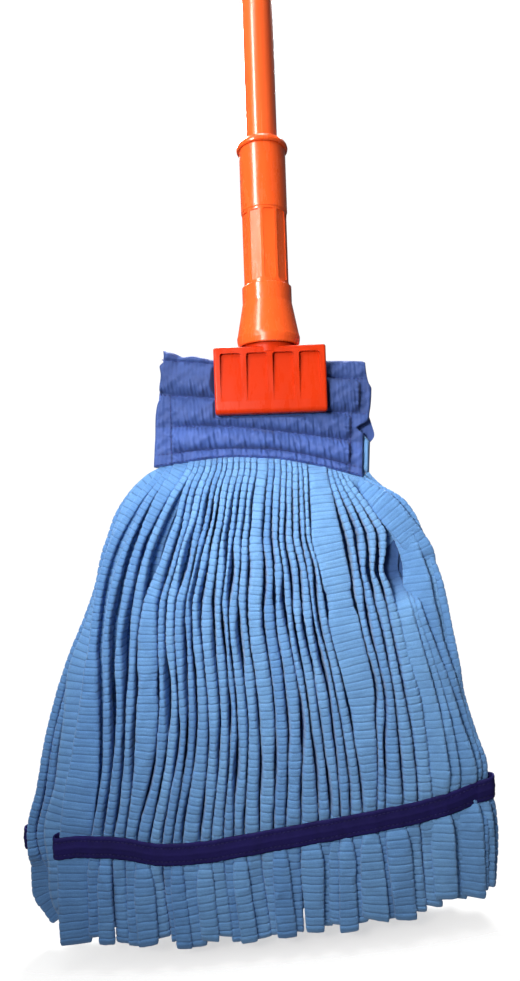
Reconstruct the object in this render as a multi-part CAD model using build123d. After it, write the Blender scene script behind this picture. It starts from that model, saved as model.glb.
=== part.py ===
# String mop: a jaw clamp with a threaded collar on a fibreglass handle, holding a tube-strip mop head.
# Millimetres, +Z up along the handle, front of the mop towards -Y.
# Origin: centre of the hanging hole in the cap at the top of the handle.
from build123d import *
import math
import os

# ---------------------------------------------------------------- driving dimensions
# handle
TUBE_R = 12.7                   # one inch fibreglass tube
TUBE_WALL = 2.5
TUBE_LENGTH = 1372.0            # 54 inch handle
TUBE_TOP = -16.0                # below the hanging hole
FOOT_R = TUBE_R - 0.25          # the tube's foot is ground a little, where the sleeve turns on it
FOOT_HEIGHT = 50.5
TUBE_BOTTOM = TUBE_TOP - TUBE_LENGTH
BORE_R = TUBE_R - TUBE_WALL
HANG_HOLE_R = 4.0
HANG_TAB = 12.0                 # cap thickness at the hole
CAP_R = TUBE_R + 0.2            # a hair proud of the tube, so tool grips still slide on from the top
CAP_TOP = 13.0
CAP_PLUG = 30.0
SNUG = 0.1                      # clearance of a glued or pressed plug

# heights from here on are above the top of the jaw block
TUBE_END = 120.0
JAW_TOP = TUBE_BOTTOM - TUBE_END

# stem: the core that plugs into the tube, carries the thread and holds the jaw pins
PLUG_TOP = 190.0
CORE_R = 12.5
STEM_THREAD = (72.0, 118.0)
KEYED_R = 12.0
KEY_FLAT = 10.5                 # half width across the two flats that stop the bell from turning
TONGUE = (12.0, 21.0, 26.0)     # width, depth and lower end of the tongue between the jaw ears
RIVET_R = 2.5
RIVET_HEIGHT = 138.0

# collar thread: two starts
LEAD = 24.0
STARTS = 2
STEM_CREST_R = 15.0
SLEEVE_CREST_R = 13.3
SLEEVE_BORE_R = 15.3
SLEEVE_THREAD = (70.0, 98.0)
RIDGE_BASE = 5.0
RIDGE_TIP = 3.6

# collar sleeve
SLEEVE_BOTTOM = 52.0
SLEEVE_TOP = 169.5
FLUTE_TOP = 112.4
FLUTE_R = 18.3
FLUTE_COUNT = 10
FLUTE_DEPTH = 1.0
FLUTE_FIRST = 27.6              # degrees, so a rib stands a little left of the front
SMOOTH_R = 18.9
FLANGE_R = 21.0
FLANGE_HEIGHT = 7.0
LAND_R = TUBE_R + 0.4
LAND_LENGTH = 14.0
SPIGOT_R = 17.1
SPIGOT_BOTTOM = 45.0

# bell: lower band, keyed web and the cone that squeezes the jaws
BELL_RIM = 3.0
BAND_R = 20.2
CONE_TOP = 38.0
RIM_R = 25.75
WEB = (40.0, 44.0)
BELL_SEAT_R = 17.3
RING_GROOVE = (47.5, 49.0)
RING_R = (16.6, 18.1)

# jaws
JAW_WIDTH = 89.0
JAW_HEIGHT = 53.0
JAW_FRONT = 20.0                # front face of the block from the centre plane
JAW_GRIP = 9.5                  # inner face of the plate from the centre plane
JAW_ROOF = 4.0
JAW_SPLIT = 0.5
PIVOT_Y = 5.5
PIVOT_Z = 32.0
PIN_R = 2.0
PIN_LENGTH = 24.0
EAR_R = 5.0
EAR = (6.6, 12.0)
POCKET_WIDTH = 16.4
POCKET_PITCH = 20.9
POCKET_DEPTH = 4.0
TOOTH_HEIGHT = 1.5
TOOTH_PITCH = 5.0

# mop head: two layers of tube strips sewn into a quilted headband
HEAD_WIDTH = 172.0
HEAD_HEIGHT = 90.0
HEAD_CENTRE = (-6.0, -53.0)     # the band sits a little to -X in the jaws
HEAD_TURN = 3.6                 # and a few degrees askew, its -X end high
HEAD_THICK = 13.0               # half thickness beside the jaws
HEAD_PRESSED = 7.7              # half thickness between the jaws
PANEL_INNER = 3.0
PRESSED_WIDTH = 101.0
PRESSED_HEIGHT = 56.0
STRIPS_PER_BANK = 7
BANKS = 5
STRIP_FILL = 0.5                # share of the pitch that a strip fills
TAIL_BAND_HEIGHT = 17.0
TAIL_BAND_THICK = 1.2
TAIL_BAND_Z = -379.0
TAIL_BAND_TILT = 5.6
TAIL_TILT = 4.5                 # degrees, the tail ends rise towards +X
# outline of each layer at four heights: left edge, right edge, middle depth, thickness
LAYER_HEIGHTS = (-98.3, -165.0, -300.0, -457.0)
FRONT_EDGES = ((-90.0, 76.0), (-134.0, 122.0), (-168.0, 148.0), (-190.0, 166.0))
REAR_EDGES = ((-90.0, 76.0), (-142.0, 118.0), (-190.0, 140.0), (-214.0, 156.0))
LAYER_DEPTH = (7.4, 12.5, 16.0, 18.0)
LAYER_THICK = (8.0, 14.0, 18.0, 20.0)


# ---------------------------------------------------------------- helpers
def turned(outline):
    """A solid of revolution about Z from (radius, height) points."""
    points = [(radius, 0, height) for radius, height in outline]
    return revolve(make_face(Polyline(*points, close=True)), Axis.Z)


def rod_x(radius, length, y, z):
    """A round bar along X, centred."""
    return Pos(0, y, z) * Rot(0, 90, 0) * Cylinder(radius, length)


def block(x, y, z):
    """A box from three (low, high) pairs."""
    size = [high - low for low, high in (x, y, z)]
    middle = [(high + low) / 2 for low, high in (x, y, z)]
    return Pos(*middle) * Box(*size)


def helical_ridge(root_r, crest_r, low, high, start_angle):
    """One thread ridge between two heights; root_r is buried a little in its wall."""
    path = Helix(pitch=LEAD, height=high - low, radius=root_r)
    section_plane = Plane(origin=path @ 0, z_dir=path % 0, x_dir=(1, 0, 0))
    depth = crest_r - root_r
    profile = Polyline(
        (0, -RIDGE_BASE / 2), (0, RIDGE_BASE / 2), (depth, RIDGE_TIP / 2), (depth, -RIDGE_TIP / 2),
        close=True,
    )
    ridge = sweep(section_plane * make_face(profile), path=path, is_frenet=True)
    return Rot(0, 0, start_angle) * (Pos(0, 0, low) * ridge)


def save(shape, name):
    """Write one node."""
    export_step(shape, f"parts/{name}.step")


def save_at_jaw(shape, name):
    """Write one node that was drawn with its heights above the jaw block."""
    save(Pos(0, 0, JAW_TOP) * shape, name)


# ---------------------------------------------------------------- handle
def handle_tube():
    """Fibreglass tube with its ground foot and the rivet hole through it."""
    shoulder = TUBE_BOTTOM + FOOT_HEIGHT
    tube = turned([(BORE_R, TUBE_BOTTOM), (FOOT_R, TUBE_BOTTOM), (FOOT_R, shoulder), (TUBE_R, shoulder),
                   (TUBE_R, TUBE_TOP), (BORE_R, TUBE_TOP)])
    return tube - rod_x(RIVET_R + SNUG / 2, 60, 0, JAW_TOP + RIVET_HEIGHT)


def hang_cap():
    """Moulded end cap: plug, rounded head with two flats and the hanging hole."""
    plug_r = BORE_R - SNUG
    cap = turned([
        (0, TUBE_TOP - CAP_PLUG), (plug_r - 1.5, TUBE_TOP - CAP_PLUG), (plug_r, TUBE_TOP - CAP_PLUG + 2),
        (plug_r, TUBE_TOP), (CAP_R, TUBE_TOP), (CAP_R, 2), (TUBE_R - 0.8, 7),
        (TUBE_R - 3.2, 11), (TUBE_R - 7.2, CAP_TOP), (0, CAP_TOP),
    ])
    for side in (-1, 1):
        cap -= block((-20, 20), sorted((side * HANG_TAB / 2, side * 20)), (-8, 20))
    return cap - Rot(90, 0, 0) * Cylinder(HANG_HOLE_R, 40)


# ---------------------------------------------------------------- clamp core
def clamp_stem():
    """Core of the clamp: plug in the tube, two-start thread, keyed shank and pin tongue."""
    low, high = STEM_THREAD
    plug_r = BORE_R - SNUG
    stem = turned([
        (0, low), (CORE_R, low), (CORE_R, TUBE_END - 0.1), (plug_r, TUBE_END - 0.1),
        (plug_r, PLUG_TOP - 3), (plug_r - 2, PLUG_TOP), (0, PLUG_TOP),
    ])
    for start in range(STARTS):
        stem += helical_ridge(CORE_R - 0.4, STEM_CREST_R, low + RIDGE_BASE / 2, high - RIDGE_BASE / 2,
                              start * 360 / STARTS)
    shank = Pos(0, 0, (WEB[0] + low) / 2) * Cylinder(KEYED_R, low - WEB[0])
    shank &= block((-KEY_FLAT, KEY_FLAT), (-20, 20), (WEB[0] - 1, low + 1))
    width, depth, tongue_end = TONGUE
    tongue = block((-width / 2, width / 2), (-depth / 2, depth / 2), (tongue_end, WEB[0] + 1))
    tongue = fillet(tongue.edges().filter_by(Axis.X).group_by(Axis.Z)[0], 3)
    stem = stem + shank + tongue
    stem -= rod_x(RIVET_R + SNUG / 2, 60, 0, RIVET_HEIGHT)
    for side in (-1, 1):
        stem -= rod_x(PIN_R + 0.02, 60, side * PIVOT_Y, PIVOT_Z)
    return stem


def stem_rivet():
    """Flush cross rivet through tube and stem."""
    return rod_x(RIVET_R, 2 * TUBE_R - 0.6, 0, RIVET_HEIGHT)


def jaw_pins():
    """The two steel hinge pins."""
    return Compound([rod_x(PIN_R, PIN_LENGTH, side * PIVOT_Y, PIVOT_Z) for side in (-1, 1)])


# ---------------------------------------------------------------- collar
def collar_sleeve():
    """Turning sleeve: top flange, smooth barrel, faceted grip and internal two-start thread."""
    flange_low = SLEEVE_TOP - FLANGE_HEIGHT
    sleeve = turned([
        (SLEEVE_BORE_R, SPIGOT_BOTTOM), (SPIGOT_R, SPIGOT_BOTTOM), (SPIGOT_R, SLEEVE_BOTTOM),
        (FLUTE_R, SLEEVE_BOTTOM), (FLUTE_R, FLUTE_TOP - 1), (SMOOTH_R, FLUTE_TOP),
        (SMOOTH_R, flange_low), (FLANGE_R - 0.9, flange_low), (FLANGE_R - 0.2, flange_low + 0.8),
        (FLANGE_R, flange_low + 2), (FLANGE_R - 0.4, flange_low + 3.6), (FLANGE_R - 1.6, SLEEVE_TOP - 1.6),
        (FLANGE_R - 3.4, SLEEVE_TOP - 0.4), (FLANGE_R - 5.0, SLEEVE_TOP),
        (LAND_R + 1.2, SLEEVE_TOP), (LAND_R, SLEEVE_TOP - 1.2), (LAND_R, SLEEVE_TOP - LAND_LENGTH),
        (SLEEVE_BORE_R, SLEEVE_TOP - LAND_LENGTH - 3),
    ])
    rib_share = 0.2
    panel_width = 2 * math.pi * FLUTE_R / FLUTE_COUNT * (1 - rib_share)
    panel_low, panel_high = SLEEVE_BOTTOM + 2.5, FLUTE_TOP - 2.5
    for index in range(FLUTE_COUNT):
        panel = block((FLUTE_R - FLUTE_DEPTH, FLUTE_R + 5), (-panel_width / 2, panel_width / 2),
                      (panel_low, panel_high))
        panel = fillet(panel.edges().filter_by(Axis.X), 1.8)
        sleeve -= Rot(0, 0, FLUTE_FIRST + index * 360 / FLUTE_COUNT) * panel
    low, high = SLEEVE_THREAD
    between_starts = 90
    first_angle = (low - STEM_THREAD[0]) / LEAD * 360 + between_starts
    for start in range(STARTS):
        sleeve += helical_ridge(SLEEVE_BORE_R + 0.4, SLEEVE_CREST_R, low + RIDGE_BASE / 2,
                                high - RIDGE_BASE / 2, first_angle + start * 360 / STARTS)
    groove = turned([(RING_R[0] - 0.1, RING_GROOVE[0]), (SPIGOT_R + 1, RING_GROOVE[0]),
                     (SPIGOT_R + 1, RING_GROOVE[1]), (RING_R[0] - 0.1, RING_GROOVE[1])])
    return sleeve - groove


def collar_bell():
    """Non-turning bell: seat for the sleeve, keyed web and the cone over the jaw necks."""
    bell = turned([
        (KEYED_R - 2, WEB[0]), (17.0, WEB[0]), (17.2, 31), (19.0, 14), (21.6, 8), (22.6, BELL_RIM + 0.8),
        (23.2, BELL_RIM), (RIM_R - 1.8, BELL_RIM), (RIM_R - 0.9, BELL_RIM + 0.7), (RIM_R - 0.1, BELL_RIM + 4.5),
        (RIM_R, BELL_RIM + 7), (RIM_R - 0.5, BELL_RIM + 8.6), (BAND_R + 0.5, CONE_TOP - 2.5),
        (BAND_R, CONE_TOP), (BAND_R, SLEEVE_BOTTOM - 0.9),
        (BAND_R - 0.9, SLEEVE_BOTTOM - 0.1), (BELL_SEAT_R, SLEEVE_BOTTOM - 0.1), (BELL_SEAT_R, WEB[1]),
        (KEYED_R - 2, WEB[1]),
    ])
    clear = 0.3
    keyway = Pos(0, 0, 42) * Cylinder(KEYED_R + clear, 10)
    keyway &= block((-KEY_FLAT - clear, KEY_FLAT + clear), (-20, 20), (30, 50))
    groove = turned([(BELL_SEAT_R - 1, RING_GROOVE[0]), (RING_R[1] + 0.1, RING_GROOVE[0]),
                     (RING_R[1] + 0.1, RING_GROOVE[1]), (BELL_SEAT_R - 1, RING_GROOVE[1])])
    return bell - keyway - groove


def thrust_washer():
    """Slippery washer between the turning sleeve and the bell's web."""
    return turned([(13.2, WEB[1] + 0.05), (17.1, WEB[1] + 0.05), (17.1, SPIGOT_BOTTOM - 0.05),
                   (13.2, SPIGOT_BOTTOM - 0.05)])


def snap_ring():
    """Split ring that holds the bell on the sleeve."""
    low, high = RING_GROOVE[0] + 0.1, RING_GROOVE[1] - 0.1
    ring = turned([(RING_R[0], low), (RING_R[1], low), (RING_R[1], high), (RING_R[0], high)])
    return ring - block((0, 30), (-2, 2), (low - 1, high + 1))


# ---------------------------------------------------------------- jaws
def jaw():
    """Front jaw: pocketed block, toothed grip face, half-dome neck and two hinge ears."""
    half = JAW_WIDTH / 2
    body = block((-half, half), (-JAW_FRONT, -JAW_SPLIT), (-JAW_HEIGHT, 0))
    lower_front = body.edges().filter_by(Axis.X).group_by(Axis.Y)[0].sort_by(Axis.Z)[0]
    body = fillet(lower_front, 4)
    body = fillet(body.edges().filter_by(Axis.X).group_by(Axis.Y)[0].sort_by(Axis.Z)[-1], 1.5)
    for end in (0, -1):
        outline = body.faces().sort_by(Axis.X)[end].edges()
        body = fillet(outline.filter_by(lambda e: e.center().Y < -JAW_FRONT + 4), 1.8)
    body -= block((-half - 1, half + 1), (-JAW_GRIP, 1), (-JAW_HEIGHT - 1, -JAW_ROOF))
    pocket_top, pocket_end = -5.0, -43.0
    for column in (-1.5, -0.5, 0.5, 1.5):
        wedge = Polyline((0, -JAW_FRONT - 1, pocket_top), (0, -JAW_FRONT + POCKET_DEPTH, pocket_top),
                         (0, -JAW_FRONT, pocket_end), (0, -JAW_FRONT - 1, pocket_end), close=True)
        wedge = extrude(make_face(wedge), POCKET_WIDTH / 2, dir=(1, 0, 0), both=True)
        outline = RectangleRounded(POCKET_WIDTH, 2 * (pocket_top - pocket_end), 2)
        prism = extrude(Plane.XZ * Pos(0, pocket_end, 0) * outline, JAW_FRONT + 5)
        body -= Pos(column * POCKET_PITCH, 0, 0) * (wedge & prism)
    dome = turned([(0, -JAW_ROOF), (20.5, -JAW_ROOF), (20.5, 1), (20.3, 5), (19.2, 10), (17.2, 15),
                   (14.5, 20), (12.5, 24), (0, 24)])
    body += dome & block((-30, 30), (-30, -JAW_SPLIT), (-JAW_ROOF, 30))
    body -= block((-EAR[0], EAR[0]), (-12, 0), (23.2, 40))
    for side in (-1, 1):
        near, far = sorted((side * EAR[0], side * EAR[1]))
        ear = Pos((near + far) / 2, -PIVOT_Y, PIVOT_Z) * Rot(0, 90, 0) * Cylinder(EAR_R, far - near)
        body += ear + block((near, far), (-PIVOT_Y - EAR_R, -JAW_SPLIT), (20, PIVOT_Z))
    body -= rod_x(PIN_R + 0.05, 60, -PIVOT_Y, PIVOT_Z)
    tooth_count = int((JAW_HEIGHT - 20) / TOOTH_PITCH)
    for row in range(tooth_count):
        level = -JAW_HEIGHT + 4 + row * TOOTH_PITCH
        tooth = Polyline((0, -JAW_GRIP - 0.2, level - 1.6), (0, -JAW_GRIP + TOOTH_HEIGHT, level),
                         (0, -JAW_GRIP - 0.2, level + 1.6), close=True)
        body += extrude(make_face(tooth), half - 4, dir=(1, 0, 0), both=True)
    return body


# ---------------------------------------------------------------- mop head
def askew(shape):
    """Headband pieces are drawn upright about the band's centre, then set askew in the jaws."""
    x, z = HEAD_CENTRE
    return Pos(x, 0, z) * Rot(0, HEAD_TURN, 0) * shape


def headband_panel():
    """Front quilted panel, thinner where the jaws press it."""
    half, rise = HEAD_WIDTH / 2, HEAD_HEIGHT / 2
    panel = block((-half, half), (-HEAD_THICK, -PANEL_INNER), (-rise, rise))
    pressed_low, pressed_high = (-PRESSED_WIDTH / 2 - HEAD_CENTRE[0], PRESSED_WIDTH / 2 - HEAD_CENTRE[0])
    pressed = block((pressed_low, pressed_high), (-HEAD_THICK - 1, -HEAD_PRESSED),
                    (rise - PRESSED_HEIGHT, rise + 1))
    return askew(panel - pressed)


def headband_core():
    """The sewn-in upper ends of the strips, flat between the two panels."""
    half, rise = HEAD_WIDTH / 2 - 4, HEAD_HEIGHT / 2 - 2
    gap = PANEL_INNER - 0.1
    return askew(block((-half, half), (-gap, gap), (-rise, rise)))


def hung_height(x, z):
    """The layers hang askew like the band at the top, and rise towards +X at the tail."""
    share = (LAYER_HEIGHTS[0] - z) / (LAYER_HEIGHTS[0] - LAYER_HEIGHTS[-1])
    slope = (1 - share) * math.tan(math.radians(-HEAD_TURN)) + share * math.tan(math.radians(TAIL_TILT))
    return z + slope * (x - (1 - share) * HEAD_CENTRE[0])


def strip(edges, side, index, count):
    """One strip of a layer as a ruled solid through four level sections."""
    sections = []
    for (left, right), z, depth, thick in zip(edges, LAYER_HEIGHTS, LAYER_DEPTH, LAYER_THICK):
        pitch = (right - left) / count
        x = left + (index + 0.5) * pitch
        level = hung_height(x, z)
        sections.append(Pos(x, side * depth, level) * Rectangle(pitch * STRIP_FILL, thick))
    return loft(sections, ruled=True)


def layer_at(edges, z):
    """Left edge, right edge, depth and thickness of a layer at a height."""
    for top in range(len(LAYER_HEIGHTS) - 1):
        if z >= LAYER_HEIGHTS[top + 1]:
            break
    share = (LAYER_HEIGHTS[top] - z) / (LAYER_HEIGHTS[top] - LAYER_HEIGHTS[top + 1])
    mixed = [a + share * (b - a) for a, b in (
        (edges[top][0], edges[top + 1][0]), (edges[top][1], edges[top + 1][1]),
        (LAYER_DEPTH[top], LAYER_DEPTH[top + 1]), (LAYER_THICK[top], LAYER_THICK[top + 1]))]
    return mixed


def tail_band(edges, side):
    """Sewn tape loop that keeps one layer's strips side by side."""
    left, right, depth, thick = layer_at(edges, TAIL_BAND_Z)
    clear = 0.9
    inner = (right - left + 2 * clear, thick + 2 * clear)
    outer = [size + 2 * TAIL_BAND_THICK for size in inner]
    ring = Rectangle(*outer) - Rectangle(*inner)
    middle = (left + right) / 2
    tape = extrude(ring, TAIL_BAND_HEIGHT / 2, both=True)
    return Pos(middle, side * depth, TAIL_BAND_Z) * Rot(0, -TAIL_BAND_TILT, 0) * tape


def strips_bank(edges, side, bank):
    """A bank of neighbouring strips, each its own solid."""
    count = BANKS * STRIPS_PER_BANK
    first = bank * STRIPS_PER_BANK
    return Compound([strip(edges, side, first + n, count) for n in range(STRIPS_PER_BANK)])


# ---------------------------------------------------------------- write the nodes
os.makedirs("parts", exist_ok=True)
save(handle_tube(), "handle_tube")
save(hang_cap(), "hang_cap")
save_at_jaw(clamp_stem(), "clamp_stem")
save_at_jaw(stem_rivet(), "stem_rivet")
save_at_jaw(jaw_pins(), "jaw_pins")
save_at_jaw(collar_sleeve(), "collar_sleeve")
save_at_jaw(collar_bell(), "collar_bell")
save_at_jaw(thrust_washer(), "thrust_washer")
save_at_jaw(snap_ring(), "snap_ring")
front_jaw = jaw()
save_at_jaw(front_jaw, "jaw_front")
save_at_jaw(Rot(0, 0, 180) * front_jaw, "jaw_rear")
front_panel = headband_panel()
save_at_jaw(front_panel, "headband_front")
save_at_jaw(mirror(front_panel, about=Plane.XZ), "headband_rear")
save_at_jaw(headband_core(), "headband_core")
for layer, edges, side in (("front", FRONT_EDGES, -1), ("rear", REAR_EDGES, 1)):
    save_at_jaw(tail_band(edges, side), f"tail_band_{layer}")
    for bank in range(BANKS):
        save_at_jaw(strips_bank(edges, side, bank), f"strips_{layer}_{bank + 1}")
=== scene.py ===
"""String mop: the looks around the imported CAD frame.

Lengths inside the soft-goods code are millimetres, with heights measured from the top of the jaw block and
the front of the mop towards -Y, as in the CAD. place() turns them into metres in the frame.
"""
import math

import bpy
import numpy as np
from mathutils import Matrix, Vector


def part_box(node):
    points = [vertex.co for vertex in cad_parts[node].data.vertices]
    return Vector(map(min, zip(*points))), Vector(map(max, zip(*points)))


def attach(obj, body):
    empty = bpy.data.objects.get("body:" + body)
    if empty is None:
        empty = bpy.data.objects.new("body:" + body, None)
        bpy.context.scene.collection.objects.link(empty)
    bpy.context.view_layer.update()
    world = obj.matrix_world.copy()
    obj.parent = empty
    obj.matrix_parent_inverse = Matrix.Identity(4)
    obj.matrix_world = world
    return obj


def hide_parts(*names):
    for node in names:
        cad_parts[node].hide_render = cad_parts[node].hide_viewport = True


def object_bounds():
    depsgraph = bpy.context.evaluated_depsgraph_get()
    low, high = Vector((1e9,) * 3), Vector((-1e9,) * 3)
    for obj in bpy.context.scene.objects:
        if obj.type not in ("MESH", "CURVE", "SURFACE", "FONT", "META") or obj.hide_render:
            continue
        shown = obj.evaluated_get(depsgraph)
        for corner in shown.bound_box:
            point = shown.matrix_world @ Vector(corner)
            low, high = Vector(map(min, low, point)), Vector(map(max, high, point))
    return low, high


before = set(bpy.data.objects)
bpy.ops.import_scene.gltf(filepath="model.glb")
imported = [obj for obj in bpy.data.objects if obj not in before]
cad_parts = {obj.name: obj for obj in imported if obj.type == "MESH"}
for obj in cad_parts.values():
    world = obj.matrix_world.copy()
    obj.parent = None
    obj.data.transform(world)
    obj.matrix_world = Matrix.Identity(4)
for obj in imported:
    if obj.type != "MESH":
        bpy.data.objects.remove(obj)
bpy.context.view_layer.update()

MM = 0.001
EAR_ABOVE_JAW = 0.037
JAW_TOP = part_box("jaw_front")[1][2] - EAR_ABOVE_JAW
MOP = "mop_head"

# ---------------- driving sizes, millimetres
BAND_CENTRE = (-6.0, -53.0)
BAND_TURN = math.radians(3.6)
HANG_TOP = -98.3
HANG_END = -457.0
HEAD_SLOPE = -math.tan(BAND_TURN)
TAIL_SLOPE = math.tan(math.radians(4.5))
TAPE_LEVEL = -376.0
TAPE_HEIGHT = 17.0
RIDGE = 6.25                    # spacing of the knitted ridges along a strip
STRIPS = 35                     # in the outer face of each layer
LINING = 20                     # flat strips behind them
BANKS = 5
BAND_RIB = 3.2                  # spacing of the headband cloth's ribs


# ---------------- helpers
def curve(*points):
    """A smooth function through given (position, value) points, flat beyond the ends."""
    points = sorted(points)
    at = np.array([p[0] for p in points], float)
    value = np.array([p[1] for p in points], float)
    step = np.diff(at)
    rise = np.diff(value) / step
    slope = np.empty(len(at))
    slope[0], slope[-1] = rise[0], rise[-1]
    same_way = rise[:-1] * rise[1:] > 0
    slope[1:-1] = np.where(same_way, (rise[:-1] + rise[1:]) / 2, 0.0)

    def evaluate(where):
        where = np.clip(np.asarray(where, float), at[0], at[-1])
        cell = np.clip(np.searchsorted(at, where) - 1, 0, len(step) - 1)
        h = step[cell]
        t = (where - at[cell]) / h
        return ((2 * t**3 - 3 * t**2 + 1) * value[cell] + (t**3 - 2 * t**2 + t) * h * slope[cell]
                + (-2 * t**3 + 3 * t**2) * value[cell + 1] + (t**3 - t**2) * h * slope[cell + 1])

    return evaluate


def wander(rng, wavelength, octaves=3):
    """A smooth random function of a length, within about -1 to 1."""
    terms = [(rng.uniform(0.7, 1.3) * 2 * math.pi / wavelength * 1.9**octave,
              rng.uniform(0, 2 * math.pi), 0.6**octave) for octave in range(octaves)]
    total = sum(term[2] for term in terms)
    return lambda s: sum(a * np.sin(f * np.asarray(s) + p) for f, p, a in terms) / total * 1.3


def smoothstep(low, high, x):
    """0 below low, 1 above high, and an easy slope between."""
    t = np.clip((np.asarray(x, float) - low) / (high - low), 0, 1)
    return t * t * (3 - 2 * t)


def place(points):
    """Millimetres about the jaw block's top to metres in the frame."""
    return np.asarray(points, float) * MM + np.array([0, 0, JAW_TOP])


def mesh_object(name, points, quads, material, triangles=(), attributes=None):
    """A smooth-shaded mesh piece from arrays, in millimetres about the jaw block's top."""
    points = place(points)
    quads = np.asarray(quads, np.int32).reshape(-1, 4)
    triangles = np.asarray(triangles, np.int32).reshape(-1, 3)
    mesh = bpy.data.meshes.new(name)
    mesh.vertices.add(len(points))
    mesh.vertices.foreach_set("co", points.astype(np.float32).ravel())
    corners = np.concatenate([quads.ravel(), triangles.ravel()])
    mesh.loops.add(len(corners))
    mesh.loops.foreach_set("vertex_index", corners)
    starts = np.concatenate([np.arange(len(quads)) * 4, 4 * len(quads) + np.arange(len(triangles)) * 3])
    mesh.polygons.add(len(starts))
    mesh.polygons.foreach_set("loop_start", starts.astype(np.int32))
    mesh.polygons.foreach_set("use_smooth", np.ones(len(starts), bool))
    for key, values in (attributes or {}).items():
        mesh.attributes.new(key, "FLOAT", "POINT").data.foreach_set("value", np.asarray(values, np.float32))
    mesh.update(calc_edges=True)
    mesh.validate()
    mesh.materials.append(material)
    piece = bpy.data.objects.new(name, mesh)
    bpy.context.scene.collection.objects.link(piece)
    return piece


class Builder:
    """Collects closed tubes and shells into one mesh."""

    def __init__(self):
        self.points, self.quads, self.triangles, self.values = [], [], [], {}
        self.count = 0

    def add(self, points, quads, triangles=(), **values):
        self.points.append(points)
        self.quads.append(np.asarray(quads, int).reshape(-1, 4) + self.count)
        self.triangles.append(np.asarray(triangles, int).reshape(-1, 3) + self.count)
        for key, value in values.items():
            self.values.setdefault(key, []).append(np.broadcast_to(value, len(points)))
        self.count += len(points)

    def piece(self, name, material):
        values = {key: np.concatenate(parts) for key, parts in self.values.items()}
        return mesh_object(name, np.concatenate(self.points), np.concatenate(self.quads), material,
                           np.concatenate(self.triangles), values)


def tube_faces(rings, around):
    """Quads along a tube of rings, and triangle fans to a middle point added after each end."""
    side = np.arange(around)
    after = (side + 1) % around
    ring = np.arange(rings - 1)[:, None] * around
    quads = np.stack([ring + side, ring + after, ring + around + after, ring + around + side], -1).reshape(-1, 4)
    first, last = rings * around, rings * around + 1
    top = np.stack([after, side, np.full(around, first)], -1)
    low = (rings - 1) * around
    end = np.stack([low + side, low + after, np.full(around, last)], -1)
    return quads, np.concatenate([top, end])


def closed_shell(front, back):
    """Points and quads of a shell between two grids of points, front facing -Y."""
    up, along = front.shape[:2]
    row, column = np.meshgrid(np.arange(up - 1), np.arange(along - 1), indexing="ij")
    a = row * along + column
    face = np.stack([a, a + along, a + along + 1, a + 1], -1).reshape(-1, 4)
    offset = up * along
    border = np.concatenate([np.arange(along), np.arange(1, up) * along + along - 1,
                             (up - 1) * along + np.arange(along - 2, -1, -1),
                             np.arange(up - 2, 0, -1) * along])
    following = np.roll(border, -1)
    wall = np.stack([border, following, following + offset, border + offset], -1)
    points = np.concatenate([front.reshape(-1, 3), back.reshape(-1, 3)])
    return points, np.concatenate([face, face[:, ::-1] + offset, wall])


def unit(vectors):
    return vectors / np.maximum(np.linalg.norm(vectors, axis=-1, keepdims=True), 1e-9)


# ---------------- materials
class Look:
    """A Principled material and short ways to wire it; uniform values go on the shader's own sockets."""

    def __init__(self, name, base, roughness, **sockets):
        self.material = bpy.data.materials.new(name)
        self.material.use_nodes = True
        self.nodes, self.links = self.material.node_tree.nodes, self.material.node_tree.links
        self.shader = self.nodes["Principled BSDF"]
        self.shader.inputs["Base Color"].default_value = (*base, 1)
        self.shader.inputs["Roughness"].default_value = roughness
        for socket, value in sockets.items():
            self.shader.inputs[socket.replace("_", " ")].default_value = value
        self.where = self.node("TexCoord", "Object", {})

    def node(self, kind, output, inputs, **settings):
        """An output of a new node; its inputs are linked if they are sockets, or else set."""
        node = self.nodes.new("ShaderNode" + kind)
        for key, value in settings.items():
            setattr(node, key, value)
        for key, value in inputs.items():
            if isinstance(value, bpy.types.NodeSocket):
                self.links.new(value, node.inputs[key])
            else:
                node.inputs[key].default_value = value
        return node.outputs[output]

    def feed(self, socket, output):
        self.links.new(output, self.shader.inputs[socket])

    def attribute(self, name):
        return self.node("Attribute", "Fac", {}, attribute_name=name)

    def stretched(self, scale):
        """The object's coordinates, scaled along each axis."""
        return self.node("Mapping", "Vector", {"Scale": scale, "Vector": self.where})

    def noise(self, scale, detail, roughness, stretch=(1, 1, 1)):
        """Noise at a scale per metre, stretched along the axes if asked."""
        return self.node("TexNoise", "Fac", {"Vector": self.stretched(stretch), "Scale": scale,
                                             "Detail": detail, "Roughness": roughness})

    def ramp(self, value, *stops):
        """A colour ramp from (position, colour) stops."""
        node = self.nodes.new("ShaderNodeValToRGB")
        elements = node.color_ramp.elements
        while len(elements) < len(stops):
            elements.new(0.5)
        for element, (position, colour) in zip(elements, stops):
            element.position = position
            element.color = (*colour, 1)
        self.links.new(value, node.inputs["Fac"])
        return node.outputs["Color"]

    def spread(self, value, low, high, to_low, to_high):
        """Map a value range to another."""
        return self.node("MapRange", "Result", {"Value": value, "From Min": low, "From Max": high,
                                                "To Min": to_low, "To Max": to_high})

    def sine(self, value, factor):
        """Sine of a value times a factor."""
        product = self.node("Math", "Value", {0: value, 1: factor}, operation="MULTIPLY")
        return self.node("Math", "Value", {0: product}, operation="SINE")

    def bump(self, height, distance, strength, below=None):
        """A bump, stacked on another if given."""
        under = {} if below is None else {"Normal": below}
        return self.node("Bump", "Normal", {"Height": height, "Distance": distance, "Strength": strength, **under})

    def combine(self, mode, a, b, factor=1.0):
        """Mix the colour of a socket with b, a colour or a socket."""
        b = (*b, 1) if isinstance(b, tuple) else b
        return self.node("Mix", 2, {"Factor": factor, 6: a, 7: b}, data_type="RGBA", blend_type=mode)


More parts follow.
